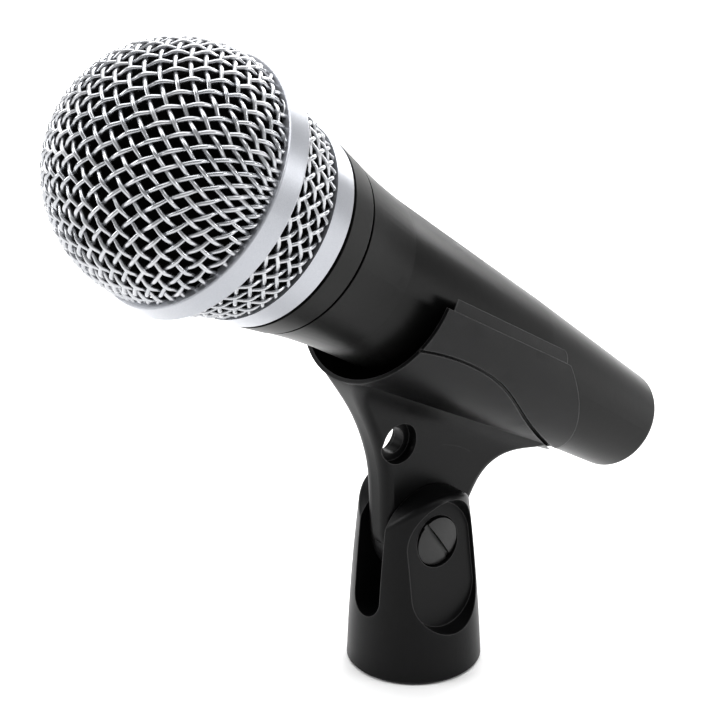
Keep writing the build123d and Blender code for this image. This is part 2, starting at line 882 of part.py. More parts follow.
# ---------------------------------------------------------------- rear_chamber
with BuildPart() as rear_chamber:
    with BuildSketch(half_section):
        with BuildLine():
            Polyline(
                (0, chamber_start),
                (capsule_body_radius, chamber_start),
                (capsule_body_radius, flange_end),
                (capsule_body_radius - chamber_wall, flange_end),
                (capsule_body_radius - chamber_wall, chamber_start + chamber_wall),
                (0, chamber_start + chamber_wall),
                close=True,
            )
        make_face()
    revolve(axis=mic_axis)
    with BuildSketch(cross_plane(chamber_start)):
        with Locations((-lead_side, 0), (lead_side, 0)):
            Circle(terminal_radius)
    extrude(amount=chamber_wall, mode=Mode.SUBTRACT)
finish(rear_chamber, "rear_chamber")

# ---------------------------------------------------------------- capsule_terminals
with BuildPart() as capsule_terminals:
    with BuildSketch(cross_plane(chamber_start - terminal_reach)):
        with Locations((-lead_side, 0), (lead_side, 0)):
            Circle(terminal_radius)
    extrude(amount=terminal_reach + chamber_wall)
finish(capsule_terminals, "capsule_terminals")

# ---------------------------------------------------------------- magnet_yoke
with BuildPart() as magnet_yoke:
    with BuildSketch(half_section):
        with BuildLine():
            Polyline(
                (0, flange_end),
                (yoke_radius, flange_end),
                (yoke_radius, yoke_end),
                (gap_outer_radius, yoke_end),
                (gap_outer_radius, yoke_end - top_plate_thickness),
                (yoke_radius - yoke_floor, yoke_end - top_plate_thickness),
                (yoke_radius - yoke_floor, flange_end + yoke_floor),
                (0, flange_end + yoke_floor),
                close=True,
            )
        make_face()
    revolve(axis=mic_axis)
finish(magnet_yoke, "magnet_yoke")

# ---------------------------------------------------------------- magnet and pole_piece
with BuildPart() as magnet:
    with BuildSketch(cross_plane(flange_end + yoke_floor)):
        Circle(magnet_radius)
    extrude(amount=magnet_thickness)
finish(magnet, "magnet")

with BuildPart() as pole_piece:
    with BuildSketch(cross_plane(magnet_end)):
        Circle(pole_radius)
    extrude(amount=yoke_end - magnet_end)
finish(pole_piece, "pole_piece")

# ---------------------------------------------------------------- voice_coil and diaphragm
with BuildPart() as voice_coil:
    with BuildSketch(cross_plane(coil_top - coil_length)):
        Circle(coil_inner_radius + coil_wall)
        Circle(coil_inner_radius, mode=Mode.SUBTRACT)
    extrude(amount=coil_length)
finish(voice_coil, "voice_coil")

film_radius = (coil_inner_radius**2 + diaphragm_rise**2) / (2 * diaphragm_rise)
film_centre = coil_top + diaphragm_rise - film_radius
with BuildPart() as diaphragm:
    # Flat surround outside the coil, domed centre inside it
    with BuildSketch(cross_plane(coil_top)):
        Circle(yoke_radius)
        Circle(coil_inner_radius - 0.3, mode=Mode.SUBTRACT)
    extrude(amount=diaphragm_thickness)
    with BuildSketch(half_section):
        with Locations((0, film_centre)):
            Circle(film_radius + diaphragm_thickness)
            Circle(film_radius, mode=Mode.SUBTRACT)
        with Locations((0, coil_top)):
            Rectangle(
                coil_inner_radius, film_radius, align=(Align.MIN, Align.MIN), mode=Mode.INTERSECT
            )
    revolve(axis=mic_axis)
finish(diaphragm, "diaphragm")

# ---------------------------------------------------------------- capsule_frame
with BuildPart() as capsule_frame:
    with BuildSketch(half_section):
        with BuildLine():
            Polyline(
                (yoke_radius, flange_end),
                (capsule_head_radius, flange_end),
                (capsule_head_radius, cap_start),
                (yoke_radius, cap_start),
                close=True,
            )
        make_face()
    revolve(axis=mic_axis)
finish(capsule_frame, "capsule_frame")

# ---------------------------------------------------------------- resonator_cap
with BuildPart() as resonator_cap:
    with BuildSketch(cross_plane(cap_start)):
        Circle(capsule_head_radius)
        Circle(cap_hole_radius, mode=Mode.SUBTRACT)
        with PolarLocations(capsule_head_radius * 0.33, 6):
            Circle(cap_hole_radius, mode=Mode.SUBTRACT)
        with PolarLocations(capsule_head_radius * 0.66, 12):
            Circle(cap_hole_radius, mode=Mode.SUBTRACT)
    extrude(amount=cap_thickness)
finish(resonator_cap, "resonator_cap")

# ---------------------------------------------------------------- capsule_cloth
with BuildPart() as capsule_cloth:
    with BuildSketch(cross_plane(cap_start + cap_thickness)):
        Circle(capsule_head_radius - 0.8)
    extrude(amount=cloth_thickness)
finish(capsule_cloth, "capsule_cloth")

# ---------------------------------------------------------------- switch
screw_top = skin_plane(switch_station, switch_screw_sink)
with BuildPart() as switch_plate:
    with BuildSketch(skin_plane(switch_station, switch_plate_thickness)):
        RectangleRounded(switch_plate_width, switch_plate_length, switch_plate_corner)
    extrude(amount=handle_top_radius)
    add(handle_envelope.part, mode=Mode.INTERSECT)
    with BuildSketch(skin_plane(switch_slot_station, 0)):
        RectangleRounded(switch_slot_width, switch_slot_length, switch_slot_corner)
    extrude(amount=handle_wall, both=True, mode=Mode.SUBTRACT)
    with BuildSketch(screw_top):
        with GridLocations(0, switch_screw_spacing, 1, 2):
            Circle(switch_screw_head_radius + 0.05)
    extrude(amount=handle_wall, mode=Mode.SUBTRACT)
    with Locations(screw_top):
        with GridLocations(0, switch_screw_spacing, 1, 2):
            CounterSinkHole(switch_screw_shank_radius + 0.1, switch_screw_head_radius + 0.05)
finish(switch_plate, "switch_plate")

with BuildPart() as switch_screws:
    with BuildSketch(screw_top):
        with GridLocations(0, switch_screw_spacing, 1, 2):
            Circle(switch_screw_head_radius)
    extrude(amount=-(switch_screw_head_radius - switch_screw_shank_radius), taper=45)
    with BuildSketch(screw_top):
        with GridLocations(0, switch_screw_spacing, 1, 2):
            Circle(switch_screw_shank_radius)
    extrude(amount=-switch_screw_length)
    with BuildSketch(screw_top):
        with GridLocations(0, switch_screw_spacing, 1, 2):
            Rectangle(screw_cross_length, screw_cross_width)
            Rectangle(screw_cross_width, screw_cross_length)
    extrude(amount=-screw_cross_width, mode=Mode.SUBTRACT)
finish(switch_screws, "switch_screws")

with BuildPart() as switch_body:
    with BuildSketch(skin_plane(switch_slot_station, switch_plate_thickness)):
        Rectangle(switch_body_width, switch_body_length)
    extrude(amount=-switch_body_depth)
finish(switch_body, "switch_body")

knob_station = switch_slot_station + switch_travel / 2
with BuildPart() as switch_knob:
    with BuildSketch(skin_plane(knob_station, switch_plate_thickness - switch_knob_gap)):
        RectangleRounded(switch_knob_width, switch_knob_length, switch_knob_corner)
    extrude(amount=switch_plate_thickness - switch_knob_gap - switch_knob_sink)
    with BuildSketch(skin_plane(knob_station, switch_knob_sink)):
        with GridLocations(0, switch_knob_groove_pitch, 1, 4):
            Rectangle(switch_knob_width, switch_knob_groove_width)
    extrude(amount=-switch_knob_groove_depth, mode=Mode.SUBTRACT)
finish(switch_knob, "switch_knob")

# ---------------------------------------------------------------- connector
with BuildPart() as connector_insert:
    with BuildSketch(cross_plane(socket_depth)):
        Circle(socket_radius - insert_gap)
        for angle in pin_angles:
            with PolarLocations(pin_circle_radius, 1, start_angle=angle):
                Circle(pin_radius, mode=Mode.SUBTRACT)
    extrude(amount=insert_length)
    with BuildSketch(top_plane(set_screw_station, -(socket_radius - insert_gap))):
        Circle(set_screw_radius)
    extrude(amount=1.2, mode=Mode.SUBTRACT)
finish(connector_insert, "connector_insert")

with BuildPart() as connector_pins:
    with BuildSketch(cross_plane(socket_depth - pin_reach)):
        for angle in pin_angles:
            with PolarLocations(pin_circle_radius, 1, start_angle=angle):
                Circle(pin_radius)
    extrude(amount=pin_reach + insert_length + pin_tail)
    tips = connector_pins.edges().filter_by(GeomType.CIRCLE).group_by(mic_axis)[0]
    fillet(tips, pin_radius * 0.6)
finish(connector_pins, "connector_pins")

with BuildPart() as connector_set_screw:
    with BuildSketch(top_plane(set_screw_station, -(socket_radius - insert_gap - 1.1))):
        Circle(set_screw_radius - set_screw_gap)
    extrude(amount=-set_screw_length)
    with BuildSketch(top_plane(set_screw_station, -set_screw_face)):
        RegularPolygon(0.65, 6)
    extrude(amount=1.0, mode=Mode.SUBTRACT)
finish(connector_set_screw, "connector_set_screw")

# ---------------------------------------------------------------- capsule_leads and connector_leads
switch_middle = skin_plane(switch_slot_station, switch_plate_thickness + switch_body_depth / 2)
terminal_end = chamber_start - terminal_reach
pin_end = insert_end + pin_tail
pin_side = pin_circle_radius * cos(radians(pin_angles[1]))
pin_rise = pin_circle_radius * sin(radians(pin_angles[1]))


def inside_point(side, station, height):
    """A point inside the microphone, by its offset to +X, station and height over the axis."""
    return tail_point + across * side + forward * station + upward * height


def switch_point(side, rearward):
    """A point on the middle plane of the switch body, by its offsets to +X and to the tail."""
    return switch_middle.from_local_coords((side, rearward, 0))


with BuildPart() as capsule_leads:
    for side in (lead_side, -lead_side):
        with BuildLine():
            lead_path = FilletPolyline(
                inside_point(side, terminal_end, 0),
                inside_point(side, terminal_end - lead_straight, 0),
                switch_point(side, -switch_body_length / 2 - lead_straight),
                switch_point(side, -switch_body_length / 2),
                radius=lead_bend_radius,
            )
        with BuildSketch(lead_path ^ 0):
            Circle(lead_radius)
        sweep()
finish(capsule_leads, "capsule_leads")

with BuildPart() as connector_leads:
    for way in (1, -1):
        with BuildLine():
            lead_path = FilletPolyline(
                switch_point(way * lead_side, switch_body_length / 2),
                switch_point(way * lead_side, switch_body_length / 2 + lead_straight),
                inside_point(way * pin_side, pin_end + 3 * lead_straight, pin_rise),
                inside_point(way * pin_side, pin_end, pin_rise),
                radius=lead_bend_radius,
            )
        with BuildSketch(lead_path ^ 0):
            Circle(lead_radius)
        sweep()
finish(connector_leads, "connector_leads")
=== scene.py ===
# %% [markdown]
# # A stage microphone in its stand clip
#
# The object is a moving-coil vocal microphone that lies in a moulded clip. The clip tilts on a
# round swivel base, and a brass bush in the base screws onto a stand. The shapes that were
# machined or moulded come ready made from the CAD frame. This lesson adds what CAD is bad at:
# two grilles woven from wire, the foam behind them, a scrap of acoustic cloth, the thread in
# the bush, and a finish for every surface.

# %% Load the frame
import json
import math

import bpy
from mathutils import Matrix, Vector


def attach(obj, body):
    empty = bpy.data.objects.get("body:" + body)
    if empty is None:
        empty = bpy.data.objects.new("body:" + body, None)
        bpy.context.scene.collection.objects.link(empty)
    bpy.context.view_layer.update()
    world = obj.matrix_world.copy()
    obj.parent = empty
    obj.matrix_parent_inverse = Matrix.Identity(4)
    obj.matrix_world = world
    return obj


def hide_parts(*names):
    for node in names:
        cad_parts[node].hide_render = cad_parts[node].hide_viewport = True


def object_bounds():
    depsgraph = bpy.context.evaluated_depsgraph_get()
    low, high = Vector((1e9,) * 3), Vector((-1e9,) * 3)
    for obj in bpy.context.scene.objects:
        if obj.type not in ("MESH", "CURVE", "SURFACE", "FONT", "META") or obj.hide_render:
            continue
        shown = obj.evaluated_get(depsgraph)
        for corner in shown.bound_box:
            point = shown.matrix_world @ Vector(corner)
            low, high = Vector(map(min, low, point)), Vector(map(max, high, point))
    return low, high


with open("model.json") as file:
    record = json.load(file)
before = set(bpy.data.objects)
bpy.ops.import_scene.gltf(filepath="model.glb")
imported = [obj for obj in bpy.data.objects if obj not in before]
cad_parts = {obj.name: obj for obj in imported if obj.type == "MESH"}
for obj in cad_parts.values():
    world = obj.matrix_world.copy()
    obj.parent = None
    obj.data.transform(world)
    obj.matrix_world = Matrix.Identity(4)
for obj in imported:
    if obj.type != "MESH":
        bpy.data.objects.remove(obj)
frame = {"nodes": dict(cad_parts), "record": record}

cad_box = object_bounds()
MM = 0.001
print("CAD box in mm:", [[round(c / MM, 1) for c in corner] for corner in cad_box])

# %% [markdown]
# ## Measures along the microphone
#
# A microphone is a turned part, so its maker gives every place as a station, the distance from
# the tail, and a radius from the axis. The frame's record says where the tail is and which way
# the axis runs. Everything else is read from the vertices of the CAD nodes, so that nothing
# here has to be changed if the part is made a little longer.

# %% The microphone's own directions
record = frame["record"]
mounts = {mount["name"]: mount for mount in record["mounts"]}
tail = Vector(mounts["cable_connector"]["pos_m"])
forward = -Vector(mounts["cable_connector"]["axis"]).normalized()
across = Vector((1, 0, 0))
upward = forward.cross(across)
mic_turn = forward.to_track_quat("Z", "Y").to_euler()
print("Tail in mm:", [round(c / MM, 1) for c in tail])


def station_of(point):
    """Distance of a point from the tail, along the microphone."""
    return (point - tail).dot(forward)


def radius_of(point):
    """Distance of a point from the microphone's axis."""
    return (point - tail - forward * station_of(point)).length


# Vertices this close to a node's end belong to the end
NEAR = 0.3 * MM


def profile(node):
    """(rear station, front station, radius at the rear, radius at the front) of a CAD node."""
    points = [vertex.co for vertex in frame["nodes"][node].data.vertices]
    rear = min(station_of(point) for point in points)
    front = max(station_of(point) for point in points)
    rear_radius = max(radius_of(point) for point in points if station_of(point) < rear + NEAR)
    front_radius = max(radius_of(point) for point in points if station_of(point) > front - NEAR)
    return rear, front, rear_radius, front_radius


def in_mm(values):
    """Rounded millimetres, for printing."""
    return [round(value / MM, 2) for value in values]


dome_rear, dome_tip, _, _ = profile("front_grille_mesh")
basket_rear, basket_front, basket_rear_radius, basket_front_radius = profile(
    "rear_grille_mesh"
)
foam_rear, foam_tip, foam_rear_radius, _ = profile("foam_liner")
dome_points = [vertex.co for vertex in frame["nodes"]["front_grille_mesh"].data.vertices]
dome_radius = max(radius_of(point) for point in dome_points)
dome_centre = tail + forward * (dome_tip - dome_radius)
print("Front grille: rear, tip, radius in mm:", in_mm((dome_rear, dome_tip, dome_radius)))
print("Rear grille from station to station in mm:", in_mm((basket_rear, basket_front)))
print("Rear grille's two radii in mm:", in_mm((basket_rear_radius, basket_front_radius)))
print("Foam in mm:", in_mm((foam_rear, foam_tip, foam_rear_radius)))

# %% [markdown]
# ## The camera
#
# The microphone is seen from its front right and a little above, with a long lens, as a maker's
# catalogue shows it. A camera looks along its own -Z, so its matrix is its right, up and back
# directions side by side.

# %% Add the camera
camera_place = Vector((0.302098, -0.254344, 0.226887))
camera_right = Vector((0.624356, 0.781095, -0.008366))
camera_up = Vector((-0.283786, 0.236793, 0.929190))
camera_back = camera_right.cross(camera_up)
camera_data = bpy.data.cameras.new("catalogue_camera")
camera_data.sensor_width = 36
camera_data.lens = 100.9
camera = bpy.data.objects.new("catalogue_camera", camera_data)
camera.matrix_world = Matrix(
    [
        (camera_right[row], camera_up[row], camera_back[row], camera_place[row])
        for row in range(3)
    ]
    + [(0, 0, 0, 1)]
)
bpy.context.scene.collection.objects.link(camera)
bpy.context.scene.camera = camera
print("Camera to the foot's centre in mm:", round(camera_place.length / MM, 1))

# %% [markdown]
# ## Floor and light
#
# A catalogue picture is taken on a white sweep under soft boxes. The floor here is one wide pale
# plane. Large area lights give the long soft highlights that show a satin black handle's shape:
# a wide one overhead, small ones in front and at the right, and two behind for the bright upper
# edge. The Standard view with a little more contrast keeps the ground white and the blacks deep.

# %% Lay the floor
FLOOR_SIZE = 6.0
FLOOR_GAP = 0.2 * MM
bpy.ops.object.select_all(action="DESELECT")
bpy.ops.mesh.primitive_plane_add(size=FLOOR_SIZE, location=(0, 0, cad_box[0].z - FLOOR_GAP))
floor = bpy.context.object
floor.name = "floor"
print("Floor height in mm:", round(floor.location.z / MM, 2))


# %% Hang the soft boxes
def soft_box(name, place, target, size, power):
    """A square area light that looks at a target."""
    light = bpy.data.lights.new(name, "AREA")
    light.shape = "SQUARE"
    light.size = size
    light.energy = power
    lamp = bpy.data.objects.new(name, light)
    lamp.location = place
    lamp.rotation_euler = (Vector(target) - Vector(place)).to_track_quat("-Z", "Y").to_euler()
    bpy.context.scene.collection.objects.link(lamp)


# Name: place and size in metres, and power in watts
SOFT_BOXES = {
    "overhead_box": ((-0.20, 0.20, 1.50), 2.00, 30.0),
    "front_left_box": ((-0.45, -0.75, 0.50), 0.45, 3.6),
    "right_box": ((0.70, 0.45, 0.45), 0.30, 2.0),
    "rear_box": ((-0.60, 0.75, 0.60), 0.60, 5.0),
    "edge_box": ((-0.35, 1.25, 0.55), 0.60, 6.0),
}
LIT_POINT = (0, 0, 0.07)
ROOM_LIGHT = 0.42
for box_name, (box_place, box_size, box_power) in SOFT_BOXES.items():
    soft_box(box_name, box_place, LIT_POINT, box_size, box_power)
world = bpy.data.worlds.new("studio")
world.use_nodes = True
world.node_tree.nodes["Background"].inputs["Color"].default_value = (1.0, 1.0, 1.0, 1)
world.node_tree.nodes["Background"].inputs["Strength"].default_value = ROOM_LIGHT
bpy.context.scene.world = world
bpy.context.scene.view_settings.view_transform = "Standard"
bpy.context.scene.view_settings.look = "Medium High Contrast"

# %% [markdown]
# ## How a finish is made
#
# No real surface has one flat colour. A finish here is a Principled shader whose colour,
# roughness and small height changes come from noise in the object's own coordinates, so that
# the grain sits still when a piece moves. The helpers below each add one such layer, and a
# finish is a few of them together. Sizes are given in millimetres of grain.


# %% Layers of a finish
def new_finish(name, metallic=0.0, roughness=0.4, coat=0.0, coat_roughness=0.1, specular=0.5):
    """A material with a plain Principled shader, ready for its layers."""
    material = bpy.data.materials.new(name)
    material.use_nodes = True
    shader = material.node_tree.nodes["Principled BSDF"]
    shader.inputs["Metallic"].default_value = metallic
    shader.inputs["Roughness"].default_value = roughness
    shader.inputs["Coat Weight"].default_value = coat
    shader.inputs["Coat Roughness"].default_value = coat_roughness
    shader.inputs["Specular IOR Level"].default_value = specular
    place = material.node_tree.nodes.new("ShaderNodeTexCoord")
    place.name = "place"
    return material


def object_place(material, turn, centre):
    """Object coordinates, moved and turned onto a piece by a Mapping node."""
    tree = material.node_tree
    mapping = tree.nodes.new("ShaderNodeMapping")
    mapping.vector_type = "TEXTURE"
    mapping.inputs["Location"].default_value = centre
    mapping.inputs["Rotation"].default_value = turn
    tree.links.new(tree.nodes["place"].outputs["Object"], mapping.inputs["Vector"])
    return mapping.outputs["Vector"]


def noise(material, grain, detail=3.0):
    """A noise whose grains are about so many millimetres across."""
    tree = material.node_tree
    node = tree.nodes.new("ShaderNodeTexNoise")
    node.inputs["Scale"].default_value = 1 / (grain * MM)
    node.inputs["Detail"].default_value = detail
    tree.links.new(tree.nodes["place"].outputs["Object"], node.inputs["Vector"])
    return node.outputs["Fac"]


def stretched(material, value, low, high, new_low, new_high):
    """A value from low..high mapped to new_low..new_high."""
    tree = material.node_tree
    node = tree.nodes.new("ShaderNodeMapRange")
    node.inputs["From Min"].default_value = low
    node.inputs["From Max"].default_value = high
    node.inputs["To Min"].default_value = new_low
    node.inputs["To Max"].default_value = new_high
    tree.links.new(value, node.inputs["Value"])
    return node.outputs["Result"]


# Nearly all of a noise's values lie between these
NOISE_RANGE = (0.3, 0.7)


def colour_layer(material, value, dark, light, span=NOISE_RANGE):
    """The base colour runs from dark to light with a value."""
    tree = material.node_tree
    ramp = tree.nodes.new("ShaderNodeValToRGB")
    ramp.color_ramp.elements[0].position = span[0]
    ramp.color_ramp.elements[0].color = (*dark, 1)
    ramp.color_ramp.elements[1].position = span[1]
    ramp.color_ramp.elements[1].color = (*light, 1)
    tree.links.new(value, ramp.inputs["Fac"])
    tree.links.new(ramp.outputs["Color"], tree.nodes["Principled BSDF"].inputs["Base Color"])


def roughness_layer(material, value, low, high):
    """The roughness runs from low to high with a value."""
    tree = material.node_tree
    roughness = stretched(material, value, *NOISE_RANGE, low, high)
    tree.links.new(roughness, tree.nodes["Principled BSDF"].inputs["Roughness"])


def bump_layer(material, value, depth):
    """The surface rises by a value times a depth in millimetres. Layers stack."""
    tree = material.node_tree
    shader = tree.nodes["Principled BSDF"]
    bump = tree.nodes.new("ShaderNodeBump")
    bump.inputs["Strength"].default_value = 1.0
    bump.inputs["Distance"].default_value = depth * MM
    tree.links.new(value, bump.inputs["Height"])
    if shader.inputs["Normal"].is_linked:
        below = shader.inputs["Normal"].links[0].from_socket
        tree.links.new(below, bump.inputs["Normal"])
    tree.links.new(bump.outputs["Normal"], shader.inputs["Normal"])


def rounded_normal(material, radius):
    """The surface's direction, as if its edges were rounded by a radius in millimetres."""
    bevel = material.node_tree.nodes.new("ShaderNodeBevel")
    bevel.samples = 4
    bevel.inputs["Radius"].default_value = radius * MM
    return bevel.outputs["Normal"]


def rounded_edges(material, radius):
    """Edges catch the light as if they were rounded by a radius in millimetres."""
    normal = material.node_tree.nodes["Principled BSDF"].inputs["Normal"]
    material.node_tree.links.new(rounded_normal(material, radius), normal)


def painted_edge_highlights(material, radius, tone):
    """Edges within a radius in millimetres take a paler tone, a painted highlight."""
    tree = material.node_tree
    colour = tree.nodes["Principled BSDF"].inputs["Base Color"]
    surface = tree.nodes.new("ShaderNodeNewGeometry")
    agreement = tree.nodes.new("ShaderNodeVectorMath")
    agreement.operation = "DOT_PRODUCT"
    tree.links.new(rounded_normal(material, radius), agreement.inputs[0])
    tree.links.new(surface.outputs["Normal"], agreement.inputs[1])
    on_edge, on_face = 0.86, 0.995
    edge = stretched(material, agreement.outputs["Value"], on_edge, on_face, 1.0, 0.0)
    mix = tree.nodes.new("ShaderNodeMixRGB")
    mix.inputs["Color2"].default_value = (tone, tone, tone, 1)
    tree.links.new(edge, mix.inputs["Fac"])
    tree.links.new(colour.links[0].from_socket, mix.inputs["Color1"])
    tree.links.new(mix.outputs["Color"], colour)


finishes = {}
print("Slots to finish:", [slot["slot"] for slot in record["materials"]])

# %% [markdown]
# ## Painted metal
#
# The handle is die-cast metal under a hard satin black paint. Such paint is very smooth but has
# a faint orange-peel wave, and fingers polish it unevenly. The name band has the same paint, a
# little paler and duller. The grille's two rings are painted silver: fine metal flakes in a
# pale grey, under the same satin skin.


# %% Satin black and silver paint
def black_paint(name, tone, roughness):
    """Satin black paint over cast metal."""
    material = new_finish(name, coat=0.02, coat_roughness=0.2, specular=0.17)
    rounded_edges(material, 0.2)
    handling = noise(material, 22.0, detail=4.0)
    colour_layer(material, handling, (tone * 0.85,) * 3, (tone * 1.1, tone * 1.1, tone * 1.06))
    roughness_layer(material, handling, roughness - 0.03, roughness + 0.04)
    bump_layer(material, noise(material, 1.6, detail=2.0), 0.010)
    bump_layer(material, noise(material, 0.22, detail=1.0), 0.004)
    return material


def silver_paint(name):
    """Pale grey paint full of fine metal flakes."""
    material = new_finish(name, metallic=0.55, coat=0.25, coat_roughness=0.2)
    flakes = noise(material, 0.12, detail=1.0)
    colour_layer(material, flakes, (0.345, 0.355, 0.385), (0.42, 0.43, 0.455))
    roughness_layer(material, noise(material, 9.0), 0.30, 0.38)
    bump_layer(material, noise(material, 2.0, detail=1.0), 0.006)
    bump_layer(material, flakes, 0.002)
    return material


finishes["black_paint"] = black_paint("satin_black_paint", 0.0045, 0.33)
finishes["black_band"] = black_paint("rubbed_black_paint", 0.008, 0.38)
finishes["silver_paint"] = silver_paint("silver_flake_paint")
print("Painted:", sorted(finishes))

# %% [markdown]
# ## Moulded plastic and rubber
#
# The clip is glass-filled nylon from a spark-eroded mould, which leaves an even matt grain of a
# few tenths of a millimetre. Connector, switch and capsule plastics are smoother. Rubber is
# duller still and takes up dust. All of them are the same two noises at other sizes, so one
# helper serves.


# %% Plastics and rubber
def moulded(name, dark, light, roughness, grain, depth, specular=0.4):
    """A moulded skin: slow colour drift, and an even grain from the mould."""
    material = new_finish(name, specular=specular)
    rounded_edges(material, 0.25)
    drift = noise(material, 14.0, detail=4.0)
    colour_layer(material, drift, dark, light)
    roughness_layer(material, drift, roughness - 0.04, roughness + 0.05)
    bump_layer(material, noise(material, grain, detail=3.0), depth)
    return material


finishes["clip_nylon"] = moulded(
    "grained_nylon", (0.0035,) * 3, (0.006, 0.006, 0.0065), 0.36, 0.35, 0.014, specular=0.17
)
# The clip's edges are painted a paler tone: a painted highlight where the rims catch the light
painted_edge_highlights(finishes["clip_nylon"], 0.4, 0.06)
finishes["switch_plastic"] = moulded("switch_plastic", (0.006,) * 3, (0.010,) * 3, 0.38, 0.3, 0.006)
finishes["connector_plastic"] = moulded(
    "connector_plastic", (0.03,) * 3, (0.045,) * 3, 0.42, 0.4, 0.006
)
finishes["capsule_plastic"] = moulded(
    "capsule_plastic", (0.05,) * 3, (0.075,) * 3, 0.5, 0.4, 0.008
)
finishes["rubber"] = moulded("mount_rubber", (0.014,) * 3, (0.024,) * 3, 0.78, 0.5, 0.02)
finishes["lead_sleeve"] = moulded(
    "lead_sleeve", (0.32, 0.03, 0.02), (0.42, 0.05, 0.035), 0.45, 1.2, 0.01
)
print("Finishes so far:", sorted(finishes))

# %% [markdown]
# ## Bare and plated metal
#
# Turned, plated and blackened metals all carry fine marks, an uneven polish and a tone that
# drifts where the skin is thinner. They differ in colour, so each is given its dark and light
# tone, the size of its marks and how rough it is.


# %% Metals
def metal(name, dark, light, roughness, grain, depth, metallic):
    """A metal with drifting tone, uneven polish and fine marks."""
    material = new_finish(name, metallic=metallic)
    drift = noise(material, 6.0, detail=5.0)
    colour_layer(material, drift, dark, light)
    roughness_layer(material, drift, roughness - 0.05, roughness + 0.07)
    bump_layer(material, noise(material, grain, detail=2.0), depth)
    return material


# Slot: name, dark tone, light tone, roughness, grain, depth of the marks, how metallic
METALS = {
    "silver_wire": ("silver_wire", (0.39, 0.40, 0.42), (0.50, 0.505, 0.52), 0.26, 0.8, 0.006, 0.9),
    "plated_steel": ("plated_steel", (0.42, 0.43, 0.45), (0.58, 0.58, 0.59), 0.24, 0.5, 0.003, 1.0),
    "magnet_nickel": (
        "magnet_nickel", (0.50, 0.49, 0.46), (0.64, 0.63, 0.60), 0.18, 1.0, 0.002, 1.0
    ),
    "brass": ("turned_brass", (0.60, 0.40, 0.16), (0.80, 0.58, 0.28), 0.24, 0.6, 0.004, 1.0),
    "gold_contact": ("gold_contact", (0.80, 0.56, 0.22), (0.92, 0.70, 0.34), 0.16, 0.5, 0.002, 1.0),
    "black_screw": ("black_screw", (0.022,) * 3, (0.040,) * 3, 0.34, 0.5, 0.006, 0.7),
    "black_screw_large": ("black_pivot_screw", (0.006,) * 3, (0.012,) * 3, 0.34, 0.5, 0.008, 0.1),
    "black_plate": ("black_plate", (0.006,) * 3, (0.010,) * 3, 0.36, 0.4, 0.005, 0.1),
}
for metal_slot, recipe in METALS.items():
    finishes[metal_slot] = metal(*recipe)
print("Metals:", list(METALS))

# %% [markdown]
# ## Coil, film, cloth and foam
#
# The voice coil is enamelled copper wound in fine turns, which are bands across its axis. The
# diaphragm is clear film with a milky sheen. Acoustic cloth is a fine square weave, and the
# foam is open cells, which the Voronoi texture draws as pits with walls between them.


# %% Wound, woven and foamed finishes
def bands(material, direction, period):
    """Bands across one of the microphone's directions, a period in millimetres apart."""
    tree = material.node_tree
    wave = tree.nodes.new("ShaderNodeTexWave")
    wave.bands_direction = direction
    # At a scale of 1 a wave texture repeats 20 times in 2 pi units
    wave.inputs["Scale"].default_value = 1 / (period * MM * 20) * 2 * math.pi
    tree.links.new(object_place(material, turn=mic_turn, centre=tail), wave.inputs["Vector"])
    return wave.outputs["Fac"]


def banded(name, dark, light, turns_apart, depth, roughness, metallic):
    """Fine turns of wire across the microphone's axis."""
    material = new_finish(name, metallic=metallic, roughness=roughness)
    turns = bands(material, "Z", turns_apart)
    colour_layer(material, turns, dark, light)
    roughness_layer(material, noise(material, 1.5), roughness - 0.05, roughness + 0.05)
    bump_layer(material, turns, depth)
    return material


def woven(name, dark, light, thread, depth):
    """A fine square weave facing along the microphone."""
    material = new_finish(name, roughness=0.85)
    tree = material.node_tree
    higher = tree.nodes.new("ShaderNodeMath")
    higher.operation = "MAXIMUM"
    tree.links.new(bands(material, "X", thread), higher.inputs[0])
    tree.links.new(bands(material, "Y", thread), higher.inputs[1])
    colour_layer(material, higher.outputs["Value"], dark, light)
    roughness_layer(material, noise(material, 2.0), 0.80, 0.92)
    bump_layer(material, higher.outputs["Value"], depth)
    return material


def foamed(name, dark, light, cell, depth):
    """Open foam cells: pits with walls between them."""
    material = new_finish(name, roughness=0.95, specular=0.05)
    tree = material.node_tree
    cells = tree.nodes.new("ShaderNodeTexVoronoi")
    cells.feature = "F1"
    cells.inputs["Scale"].default_value = 1 / (cell * MM)
    tree.links.new(tree.nodes["place"].outputs["Object"], cells.inputs["Vector"])
    colour_layer(material, cells.outputs["Distance"], dark, light, span=(0.1, 0.8))
    roughness_layer(material, noise(material, 3.0), 0.90, 0.98)
    bump_layer(material, cells.outputs["Distance"], depth)
    return material


finishes["copper_coil"] = banded(
    "wound_copper", (0.45, 0.16, 0.06), (0.75, 0.34, 0.16), 0.14, 0.03, 0.3, 0.9
)
finishes["capsule_cloth"] = woven("acoustic_cloth", (0.015,) * 3, (0.045,) * 3, 0.18, 0.05)
finishes["foam"] = foamed("open_foam", (0.0015,) * 3, (0.006,) * 3, 0.45, 0.12)
finishes["diaphragm_film"] = moulded(
    "diaphragm_film", (0.52, 0.54, 0.56), (0.66, 0.68, 0.70), 0.22, 0.6, 0.004
)
missing = sorted(slot["slot"] for slot in record["materials"] if slot["slot"] not in finishes)
print("Slots with no finish:", missing)

# %% [markdown]
# ## Giving the finishes to the CAD nodes
#
# Each CAD node says in the record which slot it is made of. Its mesh is left alone, and only
# the material in its slots is changed. The floor is given a plain pale finish too.

